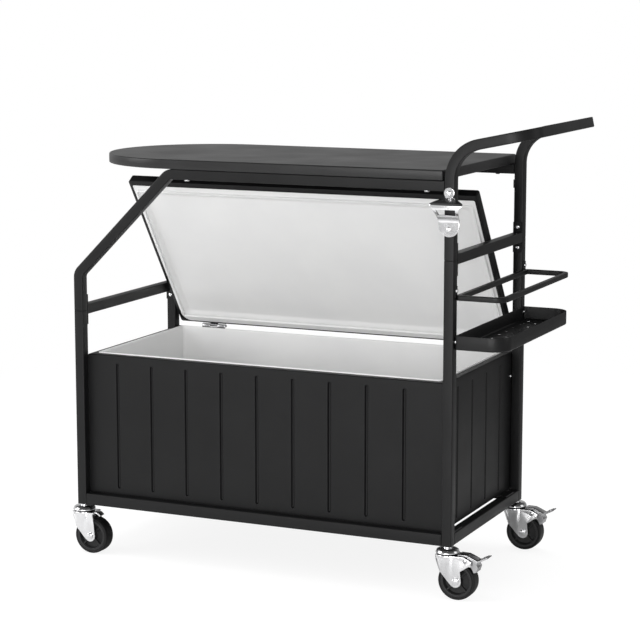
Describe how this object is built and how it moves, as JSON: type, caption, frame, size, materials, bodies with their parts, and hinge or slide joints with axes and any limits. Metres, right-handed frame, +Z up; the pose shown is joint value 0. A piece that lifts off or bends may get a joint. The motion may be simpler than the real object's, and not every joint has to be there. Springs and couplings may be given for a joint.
{
  "type": "patio cooler",
  "caption": "Rolling patio cooler cart with an insulated tub, open hinged lid, table top, push handle, side tray, wire rail, bottle opener and swivel casters.",
  "frame": {"origin": "on the floor, under the middle of the whole cart's bounding box", "axes": "+X along the cart towards the push handle, +Y towards the side with the lid's hinges, +Z up"},
  "size_m": [1.0592, 0.485, 0.9649],
  "materials": {
    "frame_paint": "satin",
    "panel_paint": "satin",
    "table_board": "satin",
    "liner_plastic": "satin",
    "foam": "matte",
    "seal": "matte",
    "black_plastic": "matte",
    "zinc_steel": "satin",
    "chrome": "polished",
    "wheel_plastic": "matte"
  },
  "bodies": {
    "cart": {"accessory_tray": "frame_paint", "body_bottom_pan": "panel_paint", "body_panel_front": "panel_paint", "body_panel_left": "panel_paint", "body_panel_rear": "panel_paint", "body_panel_right": "panel_paint", "body_support_bar_front": "frame_paint", "body_support_bar_rear": "frame_paint", "bottle_opener": "chrome", "bottom_rail_front": "frame_paint", "bottom_rail_left": "frame_paint", "bottom_rail_rear": "frame_paint", "bottom_rail_right": "frame_paint", "caster_stem_front_left": "chrome", "caster_stem_front_right": "chrome", "caster_stem_rear_left": "chrome", "caster_stem_rear_right": "chrome", "crossbar_left": "frame_paint", "crossbar_right": "frame_paint", "drain_cap": "black_plastic", "drain_spout": "black_plastic", "hinge_body_leaf_left": "zinc_steel", "hinge_body_leaf_right": "zinc_steel", "hinge_pin_left": "zinc_steel", "hinge_pin_right": "zinc_steel", "insulation_foam": "foam", "liner_tub": "liner_plastic", "lower_leg_front_left": "frame_paint", "lower_leg_front_right": "frame_paint", "lower_leg_rear_left": "frame_paint", "lower_leg_rear_right": "frame_paint", "opener_screw_lower": "chrome", "opener_screw_upper": "chrome", "push_handle": "frame_paint", "tabletop": "table_board", "upper_frame_front": "frame_paint", "upper_frame_rear": "frame_paint", "wire_rail": "frame_paint"},
    "lid": {"lid_shell": "panel_paint", "lid_foam": "foam", "lid_liner": "liner_plastic", "lid_gasket": "seal", "hinge_lid_leaf_left": "zinc_steel", "hinge_lid_leaf_right": "zinc_steel"},
    "fork_front_left": {"caster_fork_front_left": "chrome", "caster_axle_front_left": "chrome"},
    "wheel_front_left": {"caster_wheel_front_left": "wheel_plastic"},
    "fork_front_right": {"caster_fork_front_right": "chrome", "caster_axle_front_right": "chrome", "brake_pin_front_right": "zinc_steel"},
    "wheel_front_right": {"caster_wheel_front_right": "wheel_plastic"},
    "brake_front_right": {"brake_pedal_front_right": "zinc_steel"},
    "fork_rear_left": {"caster_fork_rear_left": "chrome", "caster_axle_rear_left": "chrome"},
    "wheel_rear_left": {"caster_wheel_rear_left": "wheel_plastic"},
    "fork_rear_right": {"caster_fork_rear_right": "chrome", "caster_axle_rear_right": "chrome", "brake_pin_rear_right": "zinc_steel"},
    "wheel_rear_right": {"caster_wheel_rear_right": "wheel_plastic"},
    "brake_rear_right": {"brake_pedal_rear_right": "zinc_steel"}
  },
  "joints": [
    {"name": "lid_hinge", "type": "hinge", "parent": "cart", "child": "lid", "pos_m": [-0.07537, 0.22607, 0.4484], "axis": [-1, 0, 0], "range_deg": [-55.2, 8]},
    {"name": "caster_swivel_front_left", "type": "hinge", "parent": "cart", "child": "fork_front_left", "pos_m": [-0.50462, -0.20778, 0.093], "axis": [0, 0, 1], "continuous": true},
    {"name": "wheel_spin_front_left", "type": "hinge", "parent": "fork_front_left", "child": "wheel_front_left", "pos_m": [-0.48062, -0.20778, 0.04], "axis": [0, 1, 0], "continuous": true},
    {"name": "caster_swivel_front_right", "type": "hinge", "parent": "cart", "child": "fork_front_right", "pos_m": [0.35388, -0.20778, 0.093], "axis": [0, 0, 1], "continuous": true},
    {"name": "wheel_spin_front_right", "type": "hinge", "parent": "fork_front_right", "child": "wheel_front_right", "pos_m": [0.37788, -0.20778, 0.04], "axis": [0, 1, 0], "continuous": true},
    {"name": "brake_press_front_right", "type": "hinge", "parent": "fork_front_right", "child": "brake_front_right", "pos_m": [0.39788, -0.20778, 0.0845], "axis": [0, 1, 0], "range_deg": [0, 5]},
    {"name": "caster_swivel_rear_left", "type": "hinge", "parent": "cart", "child": "fork_rear_left", "pos_m": [-0.50462, 0.21332, 0.093], "axis": [0, 0, 1], "continuous": true},
    {"name": "wheel_spin_rear_left", "type": "hinge", "parent": "fork_rear_left", "child": "wheel_rear_left", "pos_m": [-0.48062, 0.21332, 0.04], "axis": [0, 1, 0], "continuous": true},
    {"name": "caster_swivel_rear_right", "type": "hinge", "parent": "cart", "child": "fork_rear_right", "pos_m": [0.35388, 0.21332, 0.093], "axis": [0, 0, 1], "continuous": true},
    {"name": "wheel_spin_rear_right", "type": "hinge", "parent": "fork_rear_right", "child": "wheel_rear_right", "pos_m": [0.37788, 0.21332, 0.04], "axis": [0, 1, 0], "continuous": true},
    {"name": "brake_press_rear_right", "type": "hinge", "parent": "fork_rear_right", "child": "brake_rear_right", "pos_m": [0.39788, 0.21332, 0.0845], "axis": [0, 1, 0], "range_deg": [0, 5]}
  ]
}
